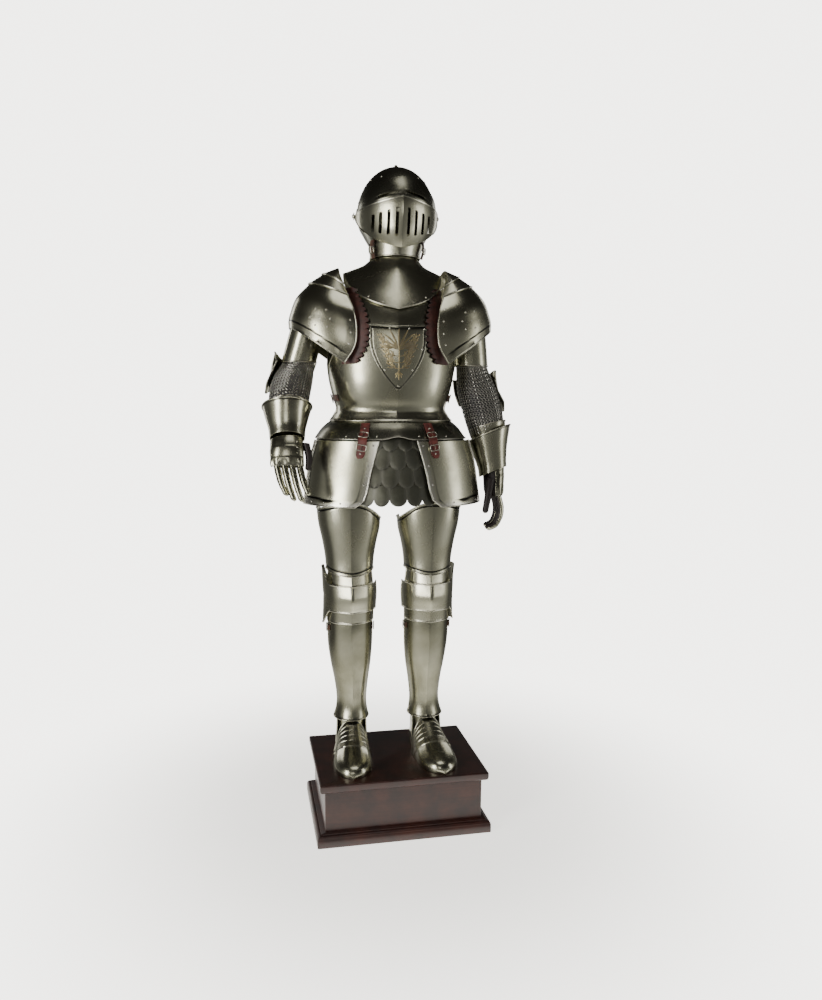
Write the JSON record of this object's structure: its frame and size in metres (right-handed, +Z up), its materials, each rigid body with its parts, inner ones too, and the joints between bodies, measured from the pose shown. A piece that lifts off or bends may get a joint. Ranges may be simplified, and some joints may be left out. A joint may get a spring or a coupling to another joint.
{
  "type": "suit of plate armour on a wooden plinth",
  "caption": "Hollow full suit of plate armour with a visored helmet, mail at the elbows and a skirt of scales, standing on a stepped wooden plinth.",
  "frame": {"origin": "middle of the plinth's underside", "axes": "+Z up; the suit faces -Y, turned three degrees to its right; +X is the suit's left"},
  "size_m": [0.7822, 0.433, 2.024],
  "materials": {
    "bright_steel": "satin polished steel plate",
    "dark_steel": "darker browned steel plate",
    "mail": "riveted steel mail",
    "etched_brass": "etched and gilt ornament on a riveted plate",
    "red_leather": "dark red strap leather",
    "brown_leather": "brown strap leather",
    "black_leather": "black glove leather",
    "mahogany": "polished dark reddish brown wood"
  },
  "bodies": {
    "suit": {"plinth_base": "mahogany", "plinth_box": "mahogany", "plinth_top": "mahogany", "sabaton_lames_l": "bright_steel", "sabaton_lames_r": "bright_steel", "sabaton_toe_l": "bright_steel", "sabaton_toe_r": "bright_steel", "sabaton_heel_l": "bright_steel", "sabaton_heel_r": "bright_steel", "greave_front_l": "bright_steel", "greave_front_r": "bright_steel", "greave_back_l": "bright_steel", "greave_back_r": "bright_steel", "knee_lame_low_l": "bright_steel", "knee_lame_low_r": "bright_steel", "knee_lame_high_l": "bright_steel", "knee_lame_high_r": "bright_steel", "poleyn_l": "bright_steel", "poleyn_r": "bright_steel", "cuisse_l": "bright_steel", "cuisse_r": "bright_steel", "breastplate": "bright_steel", "backplate": "bright_steel", "gorget_front": "bright_steel", "gorget_back": "bright_steel", "gorget_collar": "bright_steel", "tasset_l": "bright_steel", "tasset_r": "bright_steel", "pauldron_lame_1_l": "bright_steel", "pauldron_lame_1_r": "bright_steel", "pauldron_lame_2_l": "bright_steel", "pauldron_lame_2_r": "bright_steel", "pauldron_main_l": "bright_steel", "pauldron_main_r": "bright_steel", "rerebrace_l": "bright_steel", "rerebrace_r": "bright_steel", "couter_l": "bright_steel", "couter_r": "bright_steel", "gauntlet_cuff_l": "bright_steel", "gauntlet_cuff_r": "bright_steel", "gauntlet_hand_l": "bright_steel", "gauntlet_hand_r": "bright_steel", "fauld_front": "dark_steel", "fauld_back": "dark_steel", "scale_skirt": "dark_steel", "helmet_skull": "dark_steel", "mail_sleeve_l": "mail", "mail_sleeve_r": "mail", "shield_plate": "etched_brass", "tasset_strap_l": "red_leather", "tasset_strap_r": "red_leather", "pauldron_edging_l": "red_leather", "pauldron_edging_r": "red_leather", "cuisse_hanger_l": "brown_leather", "cuisse_hanger_r": "brown_leather", "glove_l": "black_leather", "glove_r": "black_leather"},
    "visor_body": {"visor": "dark_steel"},
    "ventail_body": {"ventail": "bright_steel"}
  },
  "joints": [
    {"name": "visor_lift", "type": "hinge", "parent": "suit", "child": "visor_body", "pos_m": [0.00648, 0.05924, 1.87], "axis": [-0.9986, 0.0523, 0], "range_deg": [0, 45]},
    {"name": "ventail_lift", "type": "hinge", "parent": "suit", "child": "ventail_body", "pos_m": [0.00648, 0.05924, 1.87], "axis": [-0.9986, 0.0523, 0], "range_deg": [0, 60]}
  ]
}
